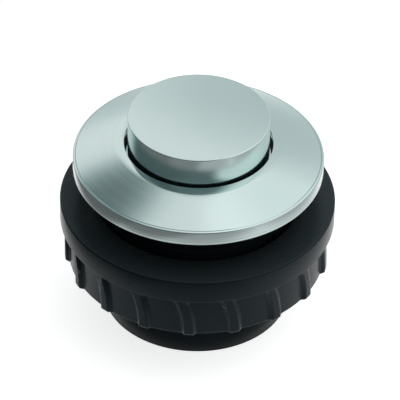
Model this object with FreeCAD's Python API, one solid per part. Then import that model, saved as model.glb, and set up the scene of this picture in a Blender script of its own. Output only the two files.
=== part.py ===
import FreeCAD, Part
import math
import os

# Doorbell button for a round panel hole, in millimetres.
# The origin is the centre of the bezel's underside, which seats on the panel.
# +Z points out of the panel to the finger, and -Y is the front.
# Heights are measured from that seat, so what lies behind the panel has a negative height.

# Button cap
cap_diameter = 22.6
cap_height = 9.8
cap_wall = 1.3
cap_top_thickness = 1.6
cap_edge_break = 0.15
cap_flange_width = 1.6
cap_flange_thickness = 1.0
cap_gap = 0.55
press_travel = 2.0

# Bezel
bezel_rim_height = 2.3
bezel_cone_rise = 2.35
bezel_ring_rise = 0.25
bezel_ring_width = 1.55
bezel_seat_width = 1.2
bezel_edge_break = 0.15
bezel_lip_thickness = 1.6
flange_pocket_gap = 0.3

# Seals
cap_seal_thickness = 0.5
cap_seal_gap = 0.3
gasket_width = 3.8
gasket_thickness = 0.8

# Threaded sleeve, whose thread comes out at 30 mm
sleeve_depth = 26.3
spigot_height = 1.8
spigot_wall = 1.8
sleeve_wall = 2.4
sleeve_end_chamfer = 0.15
stop_ring_reach = 1.0
stop_ring_thickness = 1.6
ring_groove_depth = 0.6

# Ring nut
panel_space = 6.0
nut_flange_width = 7.1
nut_flange_height = 4.0
nut_flange_overhang = 1.6
nut_height = 11.4
nut_mouth = 1.5
nut_rear_mouth = 0.5
nut_edge_chamfer = 0.25
grip_root_chamfer = 0.7
rib_count = 18
rib_height = 0.9
rib_foot_width = 2.6
rib_crest_width = 1.5
rib_corner = 0.25
rib_angle = -2.5
rib_lean_angle = 4.4
rib_top_flare = 1.5
rib_end_round = 0.7
rib_sink = 0.35

# Plunger and stem
plunger_disc_thickness = 1.4
plunger_skirt_height = 4.0
plunger_skirt_wall = 1.4
stem_diameter = 5.0
stem_shoulder_drop = 1.35
stem_tip_diameter = 2.4
stem_tip_overhang = 0.6

# Guide plate
guide_plate_thickness = 2.0
guide_boss_wall = 1.1
guide_boss_height = 1.4

# Springs
wire_sides = 6
turn_stations = 8
return_spring_wire = 0.6
return_spring_gap = 0.1
return_spring_turns = 3.5
contact_spring_length = 2.6
contact_spring_wire = 0.3
contact_spring_gap = 0.45
contact_spring_turns = 2.5

# Contact bridge and its clip
bridge_width = 4.2
bridge_thickness = 0.6
bridge_end_margin = 1.7
bridge_hole_gap = 0.1
clip_thickness = 0.5
clip_diameter = 4.8
clip_groove_depth = 0.3
clip_slot_width = 1.4
clip_leg_distance = 0.7

# Contacts
contact_overtravel = 0.6
contact_diameter = 2.8
contact_inset = 1.7
moving_contact_height = 0.6
fixed_contact_height = 0.5

# Terminals
strip_thickness = 0.8
strip_width = 5.0
strip_bend_radius = 0.3
strip_wall_distance = 1.25
strip_end_margin = 3.1

# Terminal block
block_wall = 1.5
block_floor_thickness = 3.0
strip_slot_gap = 0.1
pilot_gap = 0.1
pilot_floor = 0.5
barrier_height = 4.6
barrier_thickness = 1.6
barrier_ring_distance = 1.5

# Terminal screws and clamp plates
screw_thread_diameter = 3.0
screw_length = 4.0
screw_inset = 3.6
screw_head_diameter = 5.5
screw_head_height = 2.0
screw_slot_width = 0.8
screw_slot_depth = 1.0
clamp_plate_length = 6.6
clamp_plate_thickness = 0.8
clamp_lug_thickness = 0.6
clamp_lug_height = 0.6
clamp_lug_gap = 0.2

# Retaining ring
ring_thickness = 1.0
ring_width = 1.6
ring_gap_angle = 24.0
ring_lug_diameter = 3.2
ring_lug_hole = 1.3

# Clearances
press_gap = 0.02
slide_gap = 0.05
stop_gap = 0.05
thread_gap = 0.05
screw_gap = 0.05
spring_seat_gap = 0.02

# Radii that more than one piece shares, worked out from the cap outwards
cap_radius = cap_diameter / 2
hole_radius = cap_radius + cap_gap
cap_bore_radius = cap_radius - cap_wall
cap_flange_radius = cap_radius + cap_flange_width
pocket_radius = cap_flange_radius + flange_pocket_gap
thread_radius = pocket_radius + spigot_wall
gasket_radius = thread_radius + gasket_width
bezel_radius = gasket_radius + bezel_seat_width
bore_radius = thread_radius - sleeve_wall
groove_radius = bore_radius + ring_groove_depth
ring_inner_radius = bore_radius - ring_width
insert_radius = bore_radius - slide_gap
block_inner_radius = insert_radius - block_wall
nut_flange_radius = thread_radius + nut_flange_width
grip_root_radius = nut_flange_radius - nut_flange_overhang
stem_radius = stem_diameter / 2
tip_radius = stem_tip_diameter / 2
clip_seat_radius = tip_radius - clip_groove_depth
guide_boss_radius = stem_radius + guide_boss_wall
screw_radius = screw_thread_diameter / 2

# Distances from the axis to the terminals' features
terminal_outer_reach = block_inner_radius - strip_wall_distance
terminal_screw_reach = terminal_outer_reach - screw_inset
terminal_foot_reach = terminal_screw_reach - strip_end_margin
contact_leg_reach = clip_diameter / 2 + clip_leg_distance
contact_reach = contact_leg_reach + contact_inset

# Heights that more than one piece shares, from the front to the rear
cap_inner_top = cap_height - cap_top_thickness
plunger_underside = cap_inner_top - plunger_disc_thickness
bezel_ring_height = bezel_rim_height + bezel_cone_rise
bezel_crown_height = bezel_ring_height + bezel_ring_rise
lip_underside = bezel_crown_height - bezel_lip_thickness
cap_flange_top = lip_underside - cap_seal_thickness
cap_flange_underside = cap_flange_top - cap_flange_thickness
stop_ring_top = cap_flange_underside - press_travel - stop_gap
stop_ring_underside = stop_ring_top - stop_ring_thickness
guide_underside = stop_ring_underside - guide_plate_thickness
stem_shoulder = guide_underside - stem_shoulder_drop
bridge_top = stem_shoulder - contact_spring_length
bridge_underside = bridge_top - bridge_thickness
clip_underside = bridge_underside - clip_thickness
stem_end = clip_underside - stem_tip_overhang
moving_face = bridge_underside - moving_contact_height
fixed_face = moving_face - (press_travel - contact_overtravel)
strip_top = fixed_face - fixed_contact_height
floor_top = strip_top - strip_thickness
floor_underside = floor_top - block_floor_thickness
strip_foot = floor_underside - strip_thickness
clamp_underside = strip_foot - clamp_plate_thickness
screw_head_end = clamp_underside - screw_head_height
ring_underside = floor_underside - ring_thickness
nut_top = -panel_space
nut_flange_underside = nut_top - nut_flange_height
nut_underside = nut_top - nut_height

left, right = -1, 1


# Helpers

def turned(profile):
    """Solid turned about the Z axis from (radius, height) corners."""
    corners = [FreeCAD.Vector(radius, 0, height) for radius, height in profile]
    outline = Part.makePolygon(corners + corners[:1])
    return Part.Face(outline).revolve(FreeCAD.Vector(0, 0, 0), FreeCAD.Vector(0, 0, 1), 360)


def rod(radius, low, high, x=0.0, y=0.0):
    """Upright cylinder between two heights."""
    return Part.makeCylinder(radius, high - low, FreeCAD.Vector(x, y, low))


def block(x_range, y_range, z_range):
    """Rectangular block between two values on each axis, given in either order."""
    low = [min(pair) for pair in (x_range, y_range, z_range)]
    size = [max(pair) - min(pair) for pair in (x_range, y_range, z_range)]
    return Part.makeBox(*size, FreeCAD.Vector(*low))


def coil(wire_diameter, inner_radius, turns, low, high):
    """Helical spring whose wire lies between two heights, lofted through sections along the helix."""
    wire_radius = wire_diameter / 2
    coil_radius = inner_radius + wire_radius
    rise = high - low - wire_diameter
    stations = int(turns * turn_stations)
    sections = []
    for station in range(stations + 1):
        share = station / stations
        corners = []
        for corner in range(wire_sides):
            around = 2 * math.pi * corner / wire_sides
            radius = coil_radius + wire_radius * math.cos(around)
            height = low + wire_radius + rise * share + wire_radius * math.sin(around)
            corners.append(polar(radius, 360 * turns * share, height))
        sections.append(Part.makePolygon(corners + corners[:1]))
    return Part.makeLoft(sections, True, False)


def polar(radius, angle, height):
    """Point at an angle in degrees from the front, positive to the right."""
    turn = math.radians(angle)
    return FreeCAD.Vector(radius * math.sin(turn), -radius * math.cos(turn), height)


# Front pieces

def button_cap():
    """Turned cap: a flat-topped cup with a flange that the bezel's lip holds back."""
    return turned([
        (0, cap_height),
        (cap_radius - cap_edge_break, cap_height),
        (cap_radius, cap_height - cap_edge_break),
        (cap_radius, cap_flange_top),
        (cap_flange_radius, cap_flange_top),
        (cap_flange_radius, cap_flange_underside),
        (cap_bore_radius, cap_flange_underside),
        (cap_bore_radius, cap_inner_top),
        (0, cap_inner_top),
    ])


def bezel():
    """Turned ring: polished inner ring, satin cone, low rim, and a stepped bore for cap and sleeve."""
    ring_radius = hole_radius + bezel_ring_width
    break_rise = bezel_edge_break * bezel_cone_rise / (bezel_radius - ring_radius)
    return turned([
        (hole_radius, bezel_crown_height),
        (ring_radius, bezel_ring_height),
        (bezel_radius - bezel_edge_break, bezel_rim_height + break_rise),
        (bezel_radius, bezel_rim_height - bezel_edge_break),
        (bezel_radius, 0),
        (gasket_radius, 0),
        (gasket_radius, gasket_thickness),
        (thread_radius + press_gap, gasket_thickness),
        (thread_radius + press_gap, spigot_height),
        (pocket_radius, spigot_height),
        (pocket_radius, lip_underside),
        (hole_radius, lip_underside),
    ])


def cap_seal():
    """Flat rubber washer between the bezel's lip and the cap's flange."""
    return turned([
        (cap_radius + cap_seal_gap, lip_underside),
        (pocket_radius - press_gap, lip_underside),
        (pocket_radius - press_gap, cap_flange_top),
        (cap_radius + cap_seal_gap, cap_flange_top),
    ])


def bezel_gasket():
    """Flat rubber ring round the sleeve, in the recess of the bezel's underside and flush with the seat."""
    inner = thread_radius + thread_gap
    outer = gasket_radius - press_gap
    return turned([(inner, 0), (outer, 0), (outer, gasket_thickness), (inner, gasket_thickness)])


def threaded_sleeve():
    """Moulded sleeve: spigot in the bezel, inner ring that stops the cap, groove for the retaining ring."""
    stop_radius = cap_bore_radius + stop_ring_reach
    return turned([
        (pocket_radius, spigot_height),
        (thread_radius, spigot_height),
        (thread_radius, sleeve_end_chamfer - sleeve_depth),
        (thread_radius - sleeve_end_chamfer, -sleeve_depth),
        (bore_radius, -sleeve_depth),
        (bore_radius, ring_underside - slide_gap),
        (groove_radius, ring_underside - slide_gap),
        (groove_radius, floor_underside),
        (bore_radius, floor_underside),
        (bore_radius, stop_ring_underside),
        (stop_radius, stop_ring_underside),
        (stop_radius, stop_ring_top),
        (pocket_radius, stop_ring_top),
    ])


# Ring nut

def corner_inset(distance, radius):
    """How far a rounded corner stands off its wall, at a distance from the corner."""
    rest = max(radius - max(distance, 0), 0)
    return radius - math.sqrt(radius ** 2 - rest ** 2)


def rib_section(height):
    """Outline of one grip rib at a height: it widens into the flange and sinks away at the rear face."""
    flare = corner_inset(nut_flange_underside - height, rib_top_flare)
    crest = grip_root_radius + rib_height - corner_inset(height - nut_underside, rib_end_round)
    lean = rib_lean_angle * ((height - nut_underside) / (nut_flange_underside - nut_underside)) ** 2
    foot_half = rib_foot_width / 2 + flare
    crest_half = rib_crest_width / 2 + flare
    corner = min(rib_corner, (crest - grip_root_radius) / 2)
    half_outline = [
        (foot_half + corner, grip_root_radius - rib_sink),
        (foot_half + corner, grip_root_radius),
        (foot_half, grip_root_radius + corner),
        (crest_half, crest - corner),
        (crest_half - rib_corner, crest),
    ]
    outline = [(-reach, radius) for reach, radius in half_outline] + half_outline[::-1]
    corners = []
    for reach, radius in outline:
        corners.append(polar(radius, rib_angle - lean + math.degrees(reach / grip_root_radius), height))
    return Part.makePolygon(corners + corners[:1])


def grip_rib():
    """One leaning rib, lofted from inside the flange to the rear face."""
    flare_end = nut_flange_underside - rib_top_flare
    round_start = nut_underside + rib_end_round
    heights = [nut_flange_underside + rib_sink]
    heights += [nut_flange_underside - rib_top_flare * share for share in (0, 0.15, 0.5, 1)]
    heights.append((flare_end + round_start) / 2)
    heights += [nut_underside + rib_end_round * share for share in (1, 0.3, 0)]
    return Part.makeLoft([rib_section(height) for height in heights], True, True)


def ring_nut():
    """Moulded nut in one piece: smooth flange, ribbed grip, and a bore that clears the thread's crests."""
    bore = thread_radius + thread_gap
    body = turned([
        (bore + nut_mouth, nut_top),
        (nut_flange_radius - nut_edge_chamfer, nut_top),
        (nut_flange_radius, nut_top - nut_edge_chamfer),
        (nut_flange_radius, nut_flange_underside + nut_edge_chamfer),
        (nut_flange_radius - nut_edge_chamfer, nut_flange_underside),
        (grip_root_radius + grip_root_chamfer, nut_flange_underside),
        (grip_root_radius, nut_flange_underside - grip_root_chamfer),
        (grip_root_radius, nut_underside),
        (bore + nut_rear_mouth, nut_underside),
        (bore, nut_underside + nut_rear_mouth),
        (bore, nut_top - nut_mouth),
    ])
    rib = grip_rib()
    ribs = []
    for number in range(rib_count):
        copy = rib.copy()
        copy.rotate(FreeCAD.Vector(0, 0, 0), FreeCAD.Vector(0, 0, 1), 360 / rib_count * number)
        ribs.append(copy)
    return body.multiFuse(ribs)


# Moving pieces behind the cap

def plunger():
    """Moulded plunger: a skirted disc pressed into the cap, and a stepped stem."""
    skirt = cap_bore_radius - press_gap
    skirt_end = cap_inner_top - plunger_skirt_height
    skirt_inside = skirt - plunger_skirt_wall
    return turned([
        (0, cap_inner_top),
        (skirt, cap_inner_top),
        (skirt, skirt_end),
        (skirt_inside, skirt_end),
        (skirt_inside, plunger_underside),
        (stem_radius, plunger_underside),
        (stem_radius, stem_shoulder),
        (tip_radius, stem_shoulder),
        (tip_radius, bridge_underside),
        (clip_seat_radius, bridge_underside),
        (clip_seat_radius, clip_underside),
        (tip_radius, clip_underside),
        (tip_radius, stem_end),
        (0, stem_end),
    ])


def return_spring():
    """Coil between the guide plate and the plunger's disc."""
    return coil(return_spring_wire, guide_boss_radius + return_spring_gap, return_spring_turns,
                stop_ring_underside + spring_seat_gap, plunger_underside - spring_seat_gap)


def contact_spring():
    """Coil between the stem's shoulder and the contact bridge."""
    return coil(contact_spring_wire, tip_radius + contact_spring_gap, contact_spring_turns,
                bridge_top + spring_seat_gap, stem_shoulder - spring_seat_gap)


def contact_bridge():
    """Round-ended bar on the stem's tip."""
    half = bridge_width / 2
    reach = contact_reach + bridge_end_margin - half
    bar = block((-reach, reach), (-half, half), (bridge_underside, bridge_top))
    for side in (left, right):
        bar = bar.fuse(rod(half, bridge_underside, bridge_top, side * reach))
    bar = bar.removeSplitter()
    return bar.cut(rod(tip_radius + bridge_hole_gap, bridge_underside, bridge_top))


def moving_contact(side):
    """Silver disc welded under the bridge."""
    return rod(contact_diameter / 2, moving_face, bridge_underside, side * contact_reach)


def stem_clip():
    """Open spring clip in the groove of the stem's tip."""
    clip = rod(clip_diameter / 2, clip_underside, bridge_underside)
    clip = clip.cut(rod(clip_seat_radius, clip_underside, bridge_underside))
    slot = block((-clip_slot_width / 2, clip_slot_width / 2), (0, clip_diameter),
                 (clip_underside, bridge_underside))
    return clip.cut(slot)


# Fixed pieces of the switch

def guide_plate():
    """Moulded plate under the sleeve's stop ring, with a boss that guides the stem."""
    guide = stem_radius + slide_gap
    boss_top = stop_ring_underside + guide_boss_height
    return turned([
        (guide, boss_top),
        (guide_boss_radius, boss_top),
        (guide_boss_radius, stop_ring_underside),
        (insert_radius, stop_ring_underside),
        (insert_radius, guide_underside),
        (guide, guide_underside),
    ])


def terminal_block():
    """Moulded cup: its wall closes the switch chamber, and a barrier parts the terminals behind its floor."""
    cup = turned([
        (block_inner_radius, guide_underside),
        (insert_radius, guide_underside),
        (insert_radius, floor_underside),
        (0, floor_underside),
        (0, floor_top),
        (block_inner_radius, floor_top),
    ])
    barrier_half = barrier_thickness / 2
    barrier_reach = ring_inner_radius - barrier_ring_distance
    barrier = block((-barrier_half, barrier_half), (-barrier_reach, barrier_reach),
                    (floor_underside - barrier_height, floor_underside))
    cup = cup.fuse(barrier).removeSplitter()
    for side in (left, right):
        slot_inner = side * (terminal_outer_reach - strip_thickness - strip_slot_gap)
        slot_outer = side * (terminal_outer_reach + strip_slot_gap)
        slot_half = strip_width / 2 + strip_slot_gap
        cup = cup.cut(block((slot_inner, slot_outer), (-slot_half, slot_half), (floor_underside, floor_top)))
        cup = cup.cut(rod(screw_radius + pilot_gap, floor_underside, floor_top - pilot_floor,
                          side * terminal_screw_reach))
    return cup


def terminal(side):
    """Brass strip folded round the block's floor: contact leg, riser and screw foot."""
    outer = terminal_outer_reach
    outline = [
        (contact_leg_reach, strip_top),
        (outer, strip_top),
        (outer, strip_foot),
        (terminal_foot_reach, strip_foot),
        (terminal_foot_reach, floor_underside),
        (outer - strip_thickness, floor_underside),
        (outer - strip_thickness, floor_top),
        (contact_leg_reach, floor_top),
    ]
    corners = [FreeCAD.Vector(side * x, -strip_width / 2, z) for x, z in outline]
    strip = Part.Face(Part.makePolygon(corners + corners[:1])).extrude(FreeCAD.Vector(0, strip_width, 0))
    bends = [edge for edge in strip.Edges if is_outer_bend(edge, side * outer)]
    strip = strip.makeFillet(strip_bend_radius, bends)
    return strip.cut(rod(screw_radius + screw_gap, strip_foot, floor_underside, side * terminal_screw_reach))


def is_outer_bend(edge, x):
    """Whether an edge runs across the strip on its outermost face."""
    near = 1e-4
    start, end = edge.Vertexes[0].Point, edge.Vertexes[-1].Point
    across = abs(start.z - end.z) < near and abs(start.y - end.y) > near
    return across and abs(start.x - x) < near and abs(end.x - x) < near


def fixed_contact(side):
    """Silver disc welded on the terminal's contact leg."""
    return rod(contact_diameter / 2, strip_top, fixed_face, side * contact_reach)


def clamp_plate(side):
    """Wire clamp, whose two lugs hold it square on the terminal's foot."""
    inner_half = strip_width / 2 + clamp_lug_gap
    outer_half = inner_half + clamp_lug_thickness
    x = side * terminal_screw_reach
    ends = (x - clamp_plate_length / 2, x + clamp_plate_length / 2)
    plate = block(ends, (-outer_half, outer_half), (clamp_underside, strip_foot))
    for edge in (left, right):
        lug = block(ends, (edge * inner_half, edge * outer_half), (strip_foot, strip_foot + clamp_lug_height))
        plate = plate.fuse(lug)
    plate = plate.removeSplitter()
    return plate.cut(rod(screw_radius + screw_gap, clamp_underside, strip_foot, x))


def terminal_screw(side):
    """Slotted screw, with its head to the rear."""
    x = side * terminal_screw_reach
    head_radius = screw_head_diameter / 2
    screw = turned([
        (0, clamp_underside + screw_length),
        (screw_radius, clamp_underside + screw_length),
        (screw_radius, clamp_underside),
        (head_radius, clamp_underside),
        (head_radius, screw_head_end),
        (0, screw_head_end),
    ])
    slot = block((-head_radius, head_radius), (-screw_slot_width / 2, screw_slot_width / 2),
                 (screw_head_end, screw_head_end + screw_slot_depth))
    screw = screw.cut(slot)
    screw.translate(FreeCAD.Vector(x, 0, 0))
    return screw


def retaining_ring():
    """Open ring in the sleeve's groove, with two eyes for the pliers."""
    outer = groove_radius - press_gap
    ring = rod(outer, ring_underside, floor_underside)
    ring = ring.cut(rod(ring_inner_radius, ring_underside, floor_underside))
    half_gap = math.radians(ring_gap_angle / 2)
    reach = 2 * outer
    across, along = reach * math.sin(half_gap), reach * math.cos(half_gap)
    corners = [FreeCAD.Vector(x, y, ring_underside) for x, y in ((0, 0), (across, along), (-across, along))]
    wedge = Part.Face(Part.makePolygon(corners + corners[:1])).extrude(FreeCAD.Vector(0, 0, ring_thickness))
    ring = ring.cut(wedge)
    eye_radius = ring_lug_diameter / 2
    for side in (left, right):
        angle = side * (half_gap + eye_radius / ring_inner_radius)
        x, y = ring_inner_radius * math.sin(angle), ring_inner_radius * math.cos(angle)
        ring = ring.fuse(rod(eye_radius, ring_underside, floor_underside, x, y))
        ring = ring.cut(rod(ring_lug_hole / 2, ring_underside, floor_underside, x, y))
    return ring.removeSplitter()


# Every piece, by the name of its file

pieces = {
    "button_cap": button_cap(),
    "bezel": bezel(),
    "cap_seal": cap_seal(),
    "bezel_gasket": bezel_gasket(),
    "threaded_sleeve": threaded_sleeve(),
    "ring_nut": ring_nut(),
    "plunger": plunger(),
    "return_spring": return_spring(),
    "contact_spring": contact_spring(),
    "contact_bridge": contact_bridge(),
    "stem_clip": stem_clip(),
    "guide_plate": guide_plate(),
    "terminal_block": terminal_block(),
    "retaining_ring": retaining_ring(),
}
for side, name in ((left, "left"), (right, "right")):
    pieces["moving_contact_" + name] = moving_contact(side)
    pieces["fixed_contact_" + name] = fixed_contact(side)
    pieces["terminal_" + name] = terminal(side)
    pieces["clamp_plate_" + name] = clamp_plate(side)
    pieces["terminal_screw_" + name] = terminal_screw(side)

os.makedirs("parts", exist_ok=True)
for name, shape in pieces.items():
    shape.exportStep("parts/" + name + ".step")
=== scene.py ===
import math

import bmesh
import bpy
from mathutils import Matrix, Vector


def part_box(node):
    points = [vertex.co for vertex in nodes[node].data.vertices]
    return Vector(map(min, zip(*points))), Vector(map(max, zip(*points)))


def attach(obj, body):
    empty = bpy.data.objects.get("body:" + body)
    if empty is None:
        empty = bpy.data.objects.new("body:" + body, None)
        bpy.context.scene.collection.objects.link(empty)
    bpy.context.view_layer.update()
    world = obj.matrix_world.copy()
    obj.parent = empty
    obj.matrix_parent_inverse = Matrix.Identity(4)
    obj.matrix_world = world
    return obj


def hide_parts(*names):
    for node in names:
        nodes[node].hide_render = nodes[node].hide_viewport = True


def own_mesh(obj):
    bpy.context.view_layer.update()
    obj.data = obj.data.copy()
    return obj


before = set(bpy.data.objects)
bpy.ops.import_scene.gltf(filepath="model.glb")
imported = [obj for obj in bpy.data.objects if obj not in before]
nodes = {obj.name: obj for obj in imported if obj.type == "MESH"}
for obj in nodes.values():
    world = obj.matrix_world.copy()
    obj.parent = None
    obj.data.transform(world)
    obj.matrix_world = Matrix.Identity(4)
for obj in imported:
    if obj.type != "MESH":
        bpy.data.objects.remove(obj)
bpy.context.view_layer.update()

# Doorbell button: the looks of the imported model.
# Lengths here are in millimetres unless a comment says metres.
# Each mesh is turned into metres as it is made.
# Angles are in degrees. Those about the Z axis start at the front, which is -Y, and grow to the right.

METRE = 0.001


def cad_box(node):
    """Lowest and highest corner of a CAD node, in millimetres."""
    return [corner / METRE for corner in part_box(node)]


# Sizes taken from the frame
bezel_high = cad_box("bezel")[1]
cap_low, cap_high = cad_box("button_cap")
sleeve_low, sleeve_high = cad_box("threaded_sleeve")
nut_low, nut_high = cad_box("ring_nut")
ring_low, ring_high = cad_box("retaining_ring")
gasket_high = cad_box("bezel_gasket")[1]
seal_high = cad_box("cap_seal")[1]

# Bezel
hole_radius = 11.85
ring_radius = 13.4
ring_height = 4.65
rim_height = 2.3
rim_round = 0.2
hole_edge_round = 0.08
edge_groove_inset = 0.4
edge_groove_half = 0.07
edge_groove_depth = 0.13
polish_overlap = 0.05
# Width of the rim band whose colour is darkened as painted shade, over its real streaks
streaked_and_shaded_band = 0.1

# Button cap
cap_radius = 11.3
cap_wall = 1.3
cap_top_thickness = 1.6
cap_flange_thickness = 1.0
cap_edge_round = 0.16
cap_crown = 2.0

# Threaded sleeve
spigot_play = 0.02
thread_pitch = 1.5
thread_depth = 0.55
thread_crest = 0.4
thread_flank = 0.18
thread_start = -0.85
thread_end = -23.0
thread_fade = 1.5
rear_edge_break = 0.12
stop_ring_radius = 11.0
stop_ring_thickness = 1.6
stop_gap = 0.05
sleeve_bore_radius = 12.6

# Ring nut
nut_bore_radius = 15.05
nut_mouth = 1.5
nut_rear_mouth = 0.5
flange_height = 4.0
flange_round = 0.3
flange_lower_round = 0.18
grip_root_radius = 20.74
grip_end_round = 0.12
rib_count = 18
rib_height = 0.7
rib_crest_half = 0.62
rib_flank = 0.6
rib_angle = -2.5
rib_lean = 4.4
rib_top_flare = 1.5
rib_top_fillet = 0.9
rib_least_fillet = 0.05
rib_end_round = 0.4

# Painted highlight on the nut: an edge's sharpness where the painted highlight starts and where it is full,
# and the share of painted light on the top face
painted_highlight_start = 0.535
painted_highlight_full = 0.6
nut_top_painted_light = 0.28
nut_top_margin = 0.05

# Travel and springs
travel = 2.0
return_wire = 0.6
return_turns = 3.5
contact_wire = 0.3
contact_turns = 2.5

# Fineness of the meshes; the grip's points crowd towards both ends, and the weld distance is in metres
corner_steps = 6
turned_segments = 320
thread_segments = 192
segments_per_rib = 40
grip_rows = 22
grip_upper_share = 0.55
grip_upper_crowding = 1.8
grip_lower_crowding = 1.5
wire_stations_per_turn = 36
wire_sides = 16
weld_distance = 1e-7

# Studio and floor, whose reach is in metres
studio_level = 1.0
dim_tint = (0.72, 0.96, 1.0)
light_tint = (1.0, 0.98, 0.975)
floor_reach = 0.3
floor_color = (0.82, 0.82, 0.82)
floor_glow = 0.75

# Sockets of a Mix node that carry colours
MIX_COLOR_A = 6
MIX_COLOR_B = 7
MIX_COLOR_RESULT = 2


# Mesh helpers

def polar(radius, angle, height):
    """Point at an angle from the front."""
    turn = math.radians(angle)
    return Vector((radius * math.sin(turn), -radius * math.cos(turn), height))


def at_angle(profile, angle):
    """Profile of (radius, height) points, stood up at an angle."""
    return [polar(radius, angle, height) for radius, height in profile]


def all_round(segments, section):
    """Sections all round the Z axis, each made for its own angle. The last one closes on the first."""
    return [section(360 * segment / segments) for segment in range(segments + 1)]


def rounded(corners):
    """Profile of (radius, height) points, with each corner that has a third value rounded to that radius."""
    points = []
    for index, corner in enumerate(corners):
        here = Vector(corner[:2])
        if len(corner) == 2:
            points.append(here)
            continue
        before = (Vector(corners[index - 1][:2]) - here).normalized()
        after = (Vector(corners[(index + 1) % len(corners)][:2]) - here).normalized()
        half = before.angle(after) / 2
        centre = here + (before + after).normalized() * corner[2] / math.sin(half)
        start = (here + before * corner[2] / math.tan(half) - centre).normalized()
        end = (here + after * corner[2] / math.tan(half) - centre).normalized()
        for step in range(corner_steps + 1):
            points.append(centre + start.slerp(end, step / corner_steps) * corner[2])
    return points


def corner_inset(distance, radius):
    """How far a rounded corner stands off its wall, at a distance from the corner."""
    rest = max(radius - max(distance, 0), 0)
    return radius - math.sqrt(radius ** 2 - rest ** 2)


def clean(mesh):
    """Weld a mesh's seams, drop its empty faces and turn its normals outwards."""
    shape = bmesh.new()
    shape.from_mesh(mesh)
    bmesh.ops.remove_doubles(shape, verts=shape.verts, dist=weld_distance)
    bmesh.ops.dissolve_degenerate(shape, edges=shape.edges, dist=weld_distance)
    bmesh.ops.recalc_face_normals(shape, faces=shape.faces)
    shape.to_mesh(mesh)
    shape.free()


def skin(name, sections, body, sharp_angle=40, capped=False):
    """Smooth closed piece through sections of points, which rides on a body."""
    rows = len(sections[0])
    points = [point * METRE for section in sections for point in section]
    faces = []
    for near in range(0, len(points) - rows, rows):
        far = near + rows
        for row in range(rows):
            after = (row + 1) % rows
            faces.append((near + row, near + after, far + after, far + row))
    if capped:
        faces.append(list(range(rows)))
        faces.append([len(points) - 1 - row for row in range(rows)])
    mesh = bpy.data.meshes.new(name)
    mesh.from_pydata(points, [], faces)
    clean(mesh)
    mesh.shade_smooth()
    mesh.set_sharp_from_angle(angle=math.radians(sharp_angle))
    piece = bpy.data.objects.new(name, mesh)
    bpy.context.scene.collection.objects.link(piece)
    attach(piece, body)
    return piece


def turned(name, profile, body):
    """Piece turned about the Z axis from its profile."""
    return skin(name, all_round(turned_segments, lambda angle: at_angle(profile, angle)), body)


# Bezel and cap

def bezel():
    """Turned ring with a low rim, a fine groove above it, a satin cone and a polished inner ring."""
    outer = bezel_high.x
    sleeve_radius = sleeve_high.x + spigot_play
    gasket_radius = gasket_high.x + spigot_play
    seal_radius = seal_high.x + spigot_play
    slope = (ring_height - rim_height) / (outer - ring_radius)
    groove = outer - edge_groove_inset
    groove_height = rim_height + edge_groove_inset * slope
    profile = rounded([
        (hole_radius, bezel_high.z, hole_edge_round),
        (ring_radius, ring_height),
        (groove - edge_groove_half, groove_height + edge_groove_half * slope),
        (groove, groove_height - edge_groove_depth),
        (groove + edge_groove_half, groove_height - edge_groove_half * slope),
        (outer, rim_height, rim_round),
        (outer, 0, rim_round / 2),
        (gasket_radius, 0),
        (gasket_radius, gasket_high.z),
        (sleeve_radius, gasket_high.z),
        (sleeve_radius, sleeve_high.z),
        (seal_radius, sleeve_high.z),
        (seal_radius, seal_high.z),
        (hole_radius, seal_high.z),
    ])
    piece = turned("bezel_turned", profile, "housing")
    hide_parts("bezel")
    return piece


def button_cap():
    """Turned cap with a thin broken edge."""
    flange_top = cap_low.z + cap_flange_thickness
    bore_radius = cap_radius - cap_wall
    ceiling = cap_high.z - cap_top_thickness
    profile = rounded([
        (0, cap_high.z),
        (cap_radius, cap_high.z, cap_edge_round),
        (cap_radius, flange_top),
        (cap_high.x, flange_top),
        (cap_high.x, cap_low.z),
        (bore_radius, cap_low.z),
        (bore_radius, ceiling),
        (0, ceiling),
    ])
    piece = turned("button_cap_turned", profile, "button")
    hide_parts("button_cap")
    return piece


# Threaded sleeve

def thread_section(angle):
    """The thread's section at an angle, from its start under the bezel to its run-out near the rear end."""
    crest = sleeve_high.x
    root = crest - thread_depth
    turns = math.ceil((thread_start - thread_end) / thread_pitch) + 2
    form = ((0, crest), (thread_crest, crest), (thread_crest + thread_flank, root), (1 - thread_flank, root))
    section = []
    for turn in range(turns):
        for share, radius in form:
            height = thread_start + thread_pitch * (1 + angle / 360 - turn - share)
            lift = min(max(height - thread_end, 0) / thread_fade, 1)
            height = min(max(height, thread_end), thread_start)
            section.append(polar(crest - (crest - radius) * lift, angle, height))
    return section


def threaded_sleeve():
    """Moulded sleeve with its fine right-hand thread, stop ring and ring groove."""
    crest = sleeve_high.x
    pocket = seal_high.x + spigot_play
    groove = ring_high.x + spigot_play
    groove_floor = ring_low.z - spigot_play
    stop_top = cap_low.z - travel - stop_gap
    stop_underside = stop_top - stop_ring_thickness
    inside = [
        (crest, sleeve_low.z + rear_edge_break),
        (crest - rear_edge_break, sleeve_low.z),
        (sleeve_bore_radius, sleeve_low.z),
        (sleeve_bore_radius, groove_floor),
        (groove, groove_floor),
        (groove, ring_high.z),
        (sleeve_bore_radius, ring_high.z),
        (sleeve_bore_radius, stop_underside),
        (stop_ring_radius, stop_underside),
        (stop_ring_radius, stop_top),
        (pocket, stop_top),
        (pocket, sleeve_high.z),
        (crest, sleeve_high.z),
    ]
    sections = all_round(thread_segments, lambda angle: thread_section(angle) + at_angle(inside, angle))
    piece = skin("sleeve_threaded", sections, "housing", sharp_angle=50)
    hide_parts("threaded_sleeve")
    return piece


# Ring nut

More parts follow.
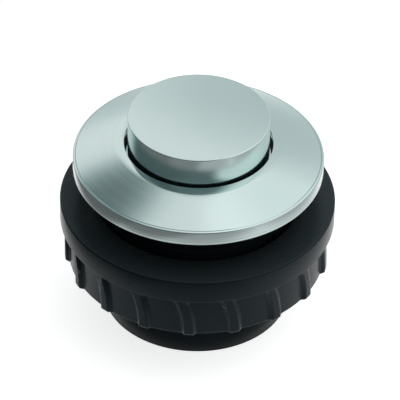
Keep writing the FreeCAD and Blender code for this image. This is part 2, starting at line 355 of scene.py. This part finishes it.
def rib_rise(offset, flare):
    """Height share of the nearest rib at a distance along the grip, from 0 in a flute to 1 on a crest."""
    pitch = 2 * math.pi * grip_root_radius / rib_count
    distance = abs((offset + pitch / 2) % pitch - pitch / 2)
    fall = min(max((distance - flare - rib_crest_half) / rib_flank, 0), 1)
    return 1 - fall ** 2 * (3 - 2 * fall)


def grip_drops(depth):
    """Distances below the flange at which the grip's section has its points."""
    shares = [step / grip_rows for step in range(grip_rows + 1)]
    upper = [grip_upper_share * share ** grip_upper_crowding for share in shares[:-1]]
    lower = [1 - (1 - grip_upper_share) * (1 - share) ** grip_lower_crowding for share in shares]
    return [depth * share for share in upper + lower]


def grip_section(angle):
    """The grip's outer section at an angle, from the flange's underside to the rear face."""
    flange_underside = nut_high.z - flange_height
    depth = flange_underside - nut_low.z
    offset = math.radians(angle - rib_angle) * grip_root_radius
    section = []
    for drop in grip_drops(depth):
        height = flange_underside - drop
        above_end = height - nut_low.z
        rise = rib_rise(offset, corner_inset(drop, rib_top_flare))
        radius = grip_root_radius + rise * (rib_height - corner_inset(above_end, rib_end_round))
        fillet = min(rib_top_fillet, nut_high.x - flange_lower_round - radius)
        radius += corner_inset(drop, max(fillet, rib_least_fillet))
        radius -= corner_inset(above_end, grip_end_round)
        lean = rib_lean * (1 - drop / depth) ** 2
        section.append(polar(radius, angle - lean, height))
    return section


def ring_nut():
    """Moulded nut: a smooth flange, leaning ribs that run out in arched flutes, and a wide mouth."""
    flange = nut_high.x
    flange_underside = nut_high.z - flange_height
    upper = rounded([
        (nut_bore_radius, nut_high.z - nut_mouth),
        (nut_bore_radius + nut_mouth, nut_high.z),
        (flange, nut_high.z, flange_round),
        (flange, flange_underside, flange_lower_round),
        (grip_root_radius, flange_underside),
    ])[:-1]
    lower = [
        (nut_bore_radius + nut_rear_mouth, nut_low.z),
        (nut_bore_radius, nut_low.z + nut_rear_mouth),
    ]

    def section(angle):
        return at_angle(upper, angle - rib_lean) + grip_section(angle) + at_angle(lower, angle)

    piece = skin("nut_ribbed", all_round(rib_count * segments_per_rib, section), "nut", sharp_angle=55)
    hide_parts("ring_nut")
    return piece


# Springs

def coil(name, node, body, wire, turns):
    """Round-wire spring, as wide and as long as its solid."""
    low, high = cad_box(node)
    wire_radius = wire / 2
    coil_radius = high.x - wire_radius
    rise = high.z - low.z - wire
    stations = int(turns * wire_stations_per_turn)
    sections = []
    for station in range(stations + 1):
        share = station / stations
        section = []
        for side in range(wire_sides):
            around = math.radians(360 * side / wire_sides)
            radius = coil_radius + wire_radius * math.cos(around)
            height = low.z + wire_radius + rise * share + wire_radius * math.sin(around)
            section.append(polar(radius, 360 * turns * share, height))
        sections.append(section)
    piece = skin(name, sections, body, sharp_angle=50, capped=True)
    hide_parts(node)
    return piece


def return_coil():
    """Spring under the cap."""
    piece = coil("return_coil", "return_spring", "housing", return_wire, return_turns)
    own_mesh(piece)
    return piece


def contact_coil():
    """Spring on the stem."""
    piece = coil("contact_coil", "contact_spring", "button", contact_wire, contact_turns)
    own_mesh(piece)
    return piece


# Node helpers

def shader(name, color, metallic, roughness):
    """New node material with a principled shader."""
    material = bpy.data.materials.new(name)
    material.use_nodes = True
    principled = material.node_tree.nodes["Principled BSDF"]
    principled.inputs["Base Color"].default_value = (*color, 1)
    principled.inputs["Metallic"].default_value = metallic
    principled.inputs["Roughness"].default_value = roughness
    return material, material.node_tree, principled


def feed(tree, node, inputs):
    """Link each given input of a node to a socket, or set it to a value."""
    for key, value in inputs.items():
        if isinstance(value, bpy.types.NodeSocket):
            tree.links.new(value, node.inputs[key])
        else:
            node.inputs[key].default_value = value


def add(tree, kind, inputs=None, **properties):
    """New node with its properties and inputs."""
    node = tree.nodes.new(kind)
    for key, value in properties.items():
        setattr(node, key, value)
    feed(tree, node, inputs or {})
    return node


def computed(tree, operation, first, second):
    """Result of a Math node."""
    return add(tree, "ShaderNodeMath", {0: first, 1: second}, operation=operation).outputs["Value"]


def along(tree, vector, direction):
    """How far a vector reaches in a direction."""
    node = add(tree, "ShaderNodeVectorMath", {0: vector, 1: direction}, operation="DOT_PRODUCT")
    return node.outputs["Value"]


def mixed(tree, factor, low, high):
    """Mix of two colours by a factor."""
    ramp = add(tree, "ShaderNodeValToRGB", {"Fac": factor})
    ramp.color_ramp.elements[0].color = (*low, 1)
    ramp.color_ramp.elements[1].color = (*high, 1)
    return ramp.outputs["Color"]


def layered(tree, factor, under, over):
    """One colour over another by a factor."""
    inputs = {"Factor": factor, MIX_COLOR_A: under, MIX_COLOR_B: over}
    return add(tree, "ShaderNodeMix", inputs, data_type="RGBA").outputs[MIX_COLOR_RESULT]


def blended(tree, factor, under, over):
    """One number over another by a factor."""
    inputs = {"Factor": factor, "A": under, "B": over}
    return add(tree, "ShaderNodeMix", inputs, data_type="FLOAT").outputs["Result"]


def ranged(tree, factor, low, high):
    """Number that runs between two values as a factor runs from 0 to 1."""
    inputs = {"Value": factor, "To Min": low, "To Max": high}
    return add(tree, "ShaderNodeMapRange", inputs).outputs["Result"]


def eased(tree, value, start, end, low=0, high=1):
    """Number that eases between two values as another one runs from its start to its end."""
    inputs = {"Value": value, "From Min": start, "From Max": end, "To Min": low, "To Max": high}
    return add(tree, "ShaderNodeMapRange", inputs, interpolation_type="SMOOTHSTEP").outputs["Result"]


def noise(tree, vector, scale, detail):
    """Noise factor over a vector."""
    inputs = {"Vector": vector, "Scale": scale, "Detail": detail}
    return add(tree, "ShaderNodeTexNoise", inputs).outputs["Fac"]


def bumped(tree, height, strength, distance, under=None):
    """Normal bumped by a height, over the surface's own normal or another one. The distance is in metres."""
    inputs = {"Height": height, "Strength": strength, "Distance": distance}
    if under:
        inputs["Normal"] = under
    return add(tree, "ShaderNodeBump", inputs).outputs["Normal"]


def object_place(tree):
    """Place on the piece, in its own axes."""
    return add(tree, "ShaderNodeTexCoord").outputs["Object"]


def dress(material, *pieces):
    """Give a material to pieces or CAD nodes."""
    for piece in pieces:
        piece.data.materials.clear()
        piece.data.materials.append(material)


# Materials

def lathe_place(tree, place):
    """Distance from the Z axis, and the vector of that distance and the height."""
    parts = add(tree, "ShaderNodeSeparateXYZ", {"Vector": place}).outputs
    flat = add(tree, "ShaderNodeCombineXYZ", {"X": parts["X"], "Y": parts["Y"]}).outputs["Vector"]
    reach = add(tree, "ShaderNodeVectorMath", {0: flat}, operation="LENGTH").outputs["Value"]
    section = add(tree, "ShaderNodeCombineXYZ", {"X": reach, "Y": parts["Z"]}).outputs["Vector"]
    return reach, section


def lathe_color(tree, place, reach, rings, brushed_and_shaded_reach):
    """Satin colour in soft clouds, and beyond a radius streaks along the rings over a darker colour, which is
    painted shade.
    """
    clouds = noise(tree, place, scale=160, detail=2.0)
    satin = mixed(tree, clouds, (0.575, 0.70, 0.685), (0.615, 0.735, 0.725))
    streaks = ranged(tree, rings, low=-1.0, high=2.0)
    # Rim band colour: real streaks over a darker colour that is painted shade
    edge = mixed(tree, streaks, (0.3, 0.365, 0.365), (0.63, 0.715, 0.705))
    brushed_and_shaded = computed(tree, "GREATER_THAN", reach, brushed_and_shaded_reach * METRE)
    return layered(tree, brushed_and_shaded, under=satin, over=edge)


def lathe_normal(tree, reach, rings, crown):
    """Normal with fine rings, over a low dome where a crown is given."""
    dome = None
    if crown:
        fall = computed(tree, "MULTIPLY", computed(tree, "POWER", reach, 2), -crown)
        dome = bumped(tree, fall, strength=1, distance=1)
    return bumped(tree, rings, strength=0.12, distance=0.01 * METRE, under=dome)


def turned_aluminium(name, polished_reach, brushed_and_shaded_reach, crown):
    """Anodised aluminium with fine lathe rings, polished within one radius, and streaked and darkened by
    painted shade beyond another.
    """
    material, tree, principled = shader(name, (0.60, 0.72, 0.71), metallic=1.0, roughness=0.24)
    place = object_place(tree)
    reach, section = lathe_place(tree, place)
    rings = noise(tree, section, scale=2600, detail=4.0)
    polished = computed(tree, "LESS_THAN", reach, polished_reach * METRE)
    feed(tree, principled, {
        "Anisotropic": 0.3,
        "Tangent": add(tree, "ShaderNodeTangent", direction_type="RADIAL", axis="Z").outputs["Tangent"],
        "Roughness": blended(tree, polished, under=ranged(tree, rings, low=0.12, high=0.24), over=0.13),
        "Base Color": lathe_color(tree, place, reach, rings, brushed_and_shaded_reach),
        "Normal": lathe_normal(tree, reach, rings, crown),
    })
    return material


def painted_highlight_share(tree, place):
    """Share of painted highlight on the nut: full on the grip's sharp edges below the fillets, and a smaller
    share of painted light on its top face.
    """
    height = add(tree, "ShaderNodeSeparateXYZ", {"Vector": place}).outputs["Z"]
    sharpness = add(tree, "ShaderNodeNewGeometry").outputs["Pointiness"]
    grip_top = nut_high.z - flange_height - rib_top_fillet
    below = computed(tree, "LESS_THAN", height, grip_top * METRE)
    above = computed(tree, "GREATER_THAN", height, (nut_high.z - nut_top_margin) * METRE)
    grip = computed(tree, "MULTIPLY", eased(tree, sharpness, painted_highlight_start, painted_highlight_full), below)
    return computed(tree, "MAXIMUM", grip, ranged(tree, above, low=0, high=nut_top_painted_light))


def moulded_plastic(name, dark, light, roughness, gloss, painted_highlight_color=None):
    """Moulded plastic with a very fine grain, and with lighter edges and a lighter top face, which are
    painted highlight and painted light, where a painted highlight colour is given.
    """
    material, tree, principled = shader(name, light, metallic=0.0, roughness=roughness)
    place = object_place(tree)
    clouds = noise(tree, place, scale=240, detail=3.0)
    grain = noise(tree, place, scale=5200, detail=3.0)
    color = mixed(tree, clouds, dark, light)
    if painted_highlight_color:
        # Painted highlight on the sharp edges and painted light on the top face
        color = layered(tree, painted_highlight_share(tree, place), under=color, over=(*painted_highlight_color, 1))
    feed(tree, principled, {
        "Specular IOR Level": gloss,
        "Specular Tint": (0.6, 0.9, 1.0, 1),
        "Base Color": color,
        "Roughness": ranged(tree, clouds, low=roughness - 0.05, high=roughness + 0.07),
        "Normal": bumped(tree, grain, strength=0.15, distance=0.012 * METRE),
    })
    return material


def brushed_metal(name, dark, light, roughness):
    """Stamped or drawn metal with fine scratches."""
    material, tree, principled = shader(name, light, metallic=1.0, roughness=roughness)
    place = object_place(tree)
    stretched = add(tree, "ShaderNodeMapping", {"Vector": place, "Scale": (1, 14, 1)}).outputs["Vector"]
    scratches = noise(tree, stretched, scale=1400, detail=4.0)
    clouds = noise(tree, place, scale=420, detail=2.0)
    feed(tree, principled, {
        "Base Color": mixed(tree, clouds, dark, light),
        "Roughness": ranged(tree, scratches, low=roughness - 0.08, high=roughness + 0.12),
        "Normal": bumped(tree, scratches, strength=0.1, distance=0.01 * METRE),
    })
    return material


# Light, floor and camera

def soft_panel(tree, direction, light, toward, core, edge, level):
    """The studio's light with one more soft panel in front: full within its core, gone at its edge."""
    facing = along(tree, direction, Vector(toward).normalized())
    cover = eased(tree, facing, math.cos(math.radians(edge)), math.cos(math.radians(core)))
    return blended(tree, cover, under=light, over=level)


def world_light():
    """Studio all round: a pale room with soft panels, each seen in front of the ones before it."""
    world = bpy.data.worlds.new("studio")
    bpy.context.scene.world = world
    world.use_nodes = True
    tree = world.node_tree
    direction = add(tree, "ShaderNodeTexCoord").outputs["Generated"]
    light = soft_panel(tree, direction, studio_level, toward=(0, 0.1, 1), core=12, edge=50, level=0.96)
    light = soft_panel(tree, direction, light, toward=(0.22, 0.87, 0.42), core=5, edge=27, level=0.7)
    light = soft_panel(tree, direction, light, toward=(-0.3, 0.95, 0.05), core=4, edge=20, level=0.7)
    light = soft_panel(tree, direction, light, toward=(-0.41, 0.46, 0.79), core=4, edge=19, level=0.2)
    light = soft_panel(tree, direction, light, toward=(0.39, 0.45, 0.8), core=4, edge=18, level=0.82)
    light = soft_panel(tree, direction, light, toward=(0.92, -0.4, 0.05), core=25, edge=55, level=1.2)
    light = soft_panel(tree, direction, light, toward=(-0.7, -0.68, 0.18), core=60, edge=82, level=0.17)
    light = soft_panel(tree, direction, light, toward=(0, -0.75, 0.66), core=25, edge=48, level=0.26)
    feed(tree, tree.nodes["Background"], {
        "Strength": light,
        "Color": mixed(tree, light, dim_tint, light_tint),
    })


def softbox(name, place, aim, size, power):
    """Large soft lamp that looks at a point. Its places and its size are in metres."""
    lamp = bpy.data.lights.new(name, "AREA")
    lamp.shape = "DISK"
    lamp.size = size
    lamp.energy = power
    holder = bpy.data.objects.new(name, lamp)
    holder.location = place
    holder.rotation_mode = "QUATERNION"
    holder.rotation_quaternion = (Vector(aim) - Vector(place)).to_track_quat("-Z", "Y")
    bpy.context.scene.collection.objects.link(holder)


def painted_floor_shade(tree, place, level, toward, start, end, low):
    """The floor's level with painted shade, which falls to a low one between two distances in a direction."""
    reach = along(tree, place, (*toward, 0))
    fade = eased(tree, reach, start * METRE, end * METRE, low=1, high=low)
    return computed(tree, "MINIMUM", level, fade)


def floor_white():
    """White material with painted shade: it fades to grey outside of the picture, where the pieces reflect
    it, and it keeps the object's shadow.
    """
    material, tree, principled = shader("floor_white", floor_color, metallic=0.0, roughness=0.9)
    place = object_place(tree)
    # Painted shade: the floor grows darker in these directions, which darkens its reflections in the pieces
    level = painted_floor_shade(tree, place, 1, toward=(-1, 0), start=32, end=46, low=0.16)
    level = painted_floor_shade(tree, place, level, toward=(-0.7, -0.7), start=37, end=50, low=0.22)
    level = painted_floor_shade(tree, place, level, toward=(0, -1), start=29, end=56, low=0.42)
    level = painted_floor_shade(tree, place, level, toward=(0.7, -0.7), start=38, end=70, low=0.7)
    level = painted_floor_shade(tree, place, level, toward=(1, 0), start=34, end=60, low=0.42)
    path = add(tree, "ShaderNodeLightPath").outputs
    seen = computed(tree, "MAXIMUM", path["Is Camera Ray"], path["Is Glossy Ray"])
    seen = computed(tree, "MAXIMUM", seen, path["Is Transmission Ray"])
    feed(tree, principled, {
        "Specular IOR Level": 0.0,
        "Base Color": mixed(tree, level, (0, 0, 0), floor_color),
        "Emission Color": (1, 1, 1, 1),
        "Emission Strength": computed(tree, "MULTIPLY", seen, ranged(tree, level, low=0, high=floor_glow)),
    })
    return material


def floor():
    """Plain floor under the sleeve's rear end."""
    near, far = -floor_reach, floor_reach
    height = sleeve_low.z * METRE
    mesh = bpy.data.meshes.new("floor")
    corners = [(near, near, height), (far, near, height), (far, far, height), (near, far, height)]
    mesh.from_pydata(corners, [], [(0, 1, 2, 3)])
    plane = bpy.data.objects.new("floor", mesh)
    bpy.context.scene.collection.objects.link(plane)
    dress(floor_white(), plane)


def camera():
    """Long-lens camera at the photograph's angle, which was fitted to the round edges in the picture."""
    image_width = 400
    focal_pixels = 3583.15
    elevation = 38.735
    roll = 1.193
    distance = 571.43
    shift_right = -0.399
    shift_up = 5.475
    tilt = math.radians(elevation)
    turn = math.radians(roll)
    ahead = Vector((0, math.cos(tilt), -math.sin(tilt)))
    right = Vector((1, 0, 0))
    up = Vector((0, math.sin(tilt), math.cos(tilt)))
    place = (-ahead * distance - right * shift_right - up * shift_up) * METRE
    image_right = right * math.cos(turn) + up * math.sin(turn)
    image_up = up * math.cos(turn) - right * math.sin(turn)
    data = bpy.data.cameras.new("camera")
    data.sensor_width = 36
    data.lens = focal_pixels * data.sensor_width / image_width
    data.clip_start = 0.01
    data.clip_end = 20
    holder = bpy.data.objects.new("camera", data)
    axes = Matrix((image_right, image_up, -ahead)).transposed()
    holder.matrix_world = Matrix.Translation(place) @ axes.to_4x4()
    bpy.context.scene.collection.objects.link(holder)
    bpy.context.scene.camera = holder


# Build

bezel_piece = bezel()
cap_piece = button_cap()
sleeve_piece = threaded_sleeve()
nut_piece = ring_nut()
return_piece = return_coil()
contact_piece = contact_coil()

# The bezel's rim band is darker as painted shade, over its real streaks
dress(turned_aluminium("bezel_aluminium", polished_reach=ring_radius + polish_overlap,
                       brushed_and_shaded_reach=bezel_high.x - streaked_and_shaded_band, crown=0), bezel_piece)
dress(turned_aluminium("cap_aluminium", polished_reach=0, brushed_and_shaded_reach=cap_high.x, crown=cap_crown),
      cap_piece)
# The nut's lighter sharp edges are a painted highlight, and its lighter top face is painted light
dress(moulded_plastic("nut_plastic", (0.007, 0.0098, 0.0118), (0.0105, 0.0138, 0.0165), roughness=0.26,
                      gloss=0.13, painted_highlight_color=(0.09, 0.12, 0.13)), nut_piece)
# The sleeve's plastic is a darker, less glossy copy of the nut's; its darker colour is painted shade
dress(moulded_plastic("shaded_sleeve_plastic", (0.006, 0.0082, 0.0095), (0.009, 0.0115, 0.0135), roughness=0.3,
                      gloss=0.05), sleeve_piece, nodes["terminal_block"])
dress(moulded_plastic("pale_plastic", (0.62, 0.60, 0.54), (0.7, 0.68, 0.62), roughness=0.5, gloss=0.5),
      nodes["plunger"], nodes["guide_plate"])
dress(moulded_plastic("black_rubber", (0.012, 0.012, 0.012), (0.022, 0.022, 0.022), roughness=0.7, gloss=0.4),
      nodes["cap_seal"], nodes["bezel_gasket"])
dress(brushed_metal("spring_steel", (0.42, 0.43, 0.44), (0.56, 0.57, 0.58), roughness=0.3),
      return_piece, contact_piece, nodes["stem_clip"], nodes["retaining_ring"])
dress(brushed_metal("plated_steel", (0.58, 0.58, 0.56), (0.7, 0.7, 0.67), roughness=0.26),
      nodes["clamp_plate_left"], nodes["clamp_plate_right"],
      nodes["terminal_screw_left"], nodes["terminal_screw_right"])
dress(brushed_metal("brass", (0.66, 0.47, 0.17), (0.76, 0.57, 0.24), roughness=0.28),
      nodes["contact_bridge"], nodes["terminal_left"], nodes["terminal_right"])
dress(brushed_metal("contact_silver", (0.76, 0.75, 0.72), (0.86, 0.85, 0.82), roughness=0.24),
      nodes["moving_contact_left"], nodes["moving_contact_right"],
      nodes["fixed_contact_left"], nodes["fixed_contact_right"])

world_light()
softbox("key", place=(0.35, 0.2, 0.7), aim=(0, 0, 0), size=0.7, power=0.25)
floor()
camera()
bpy.context.scene.view_settings.view_transform = "Standard"
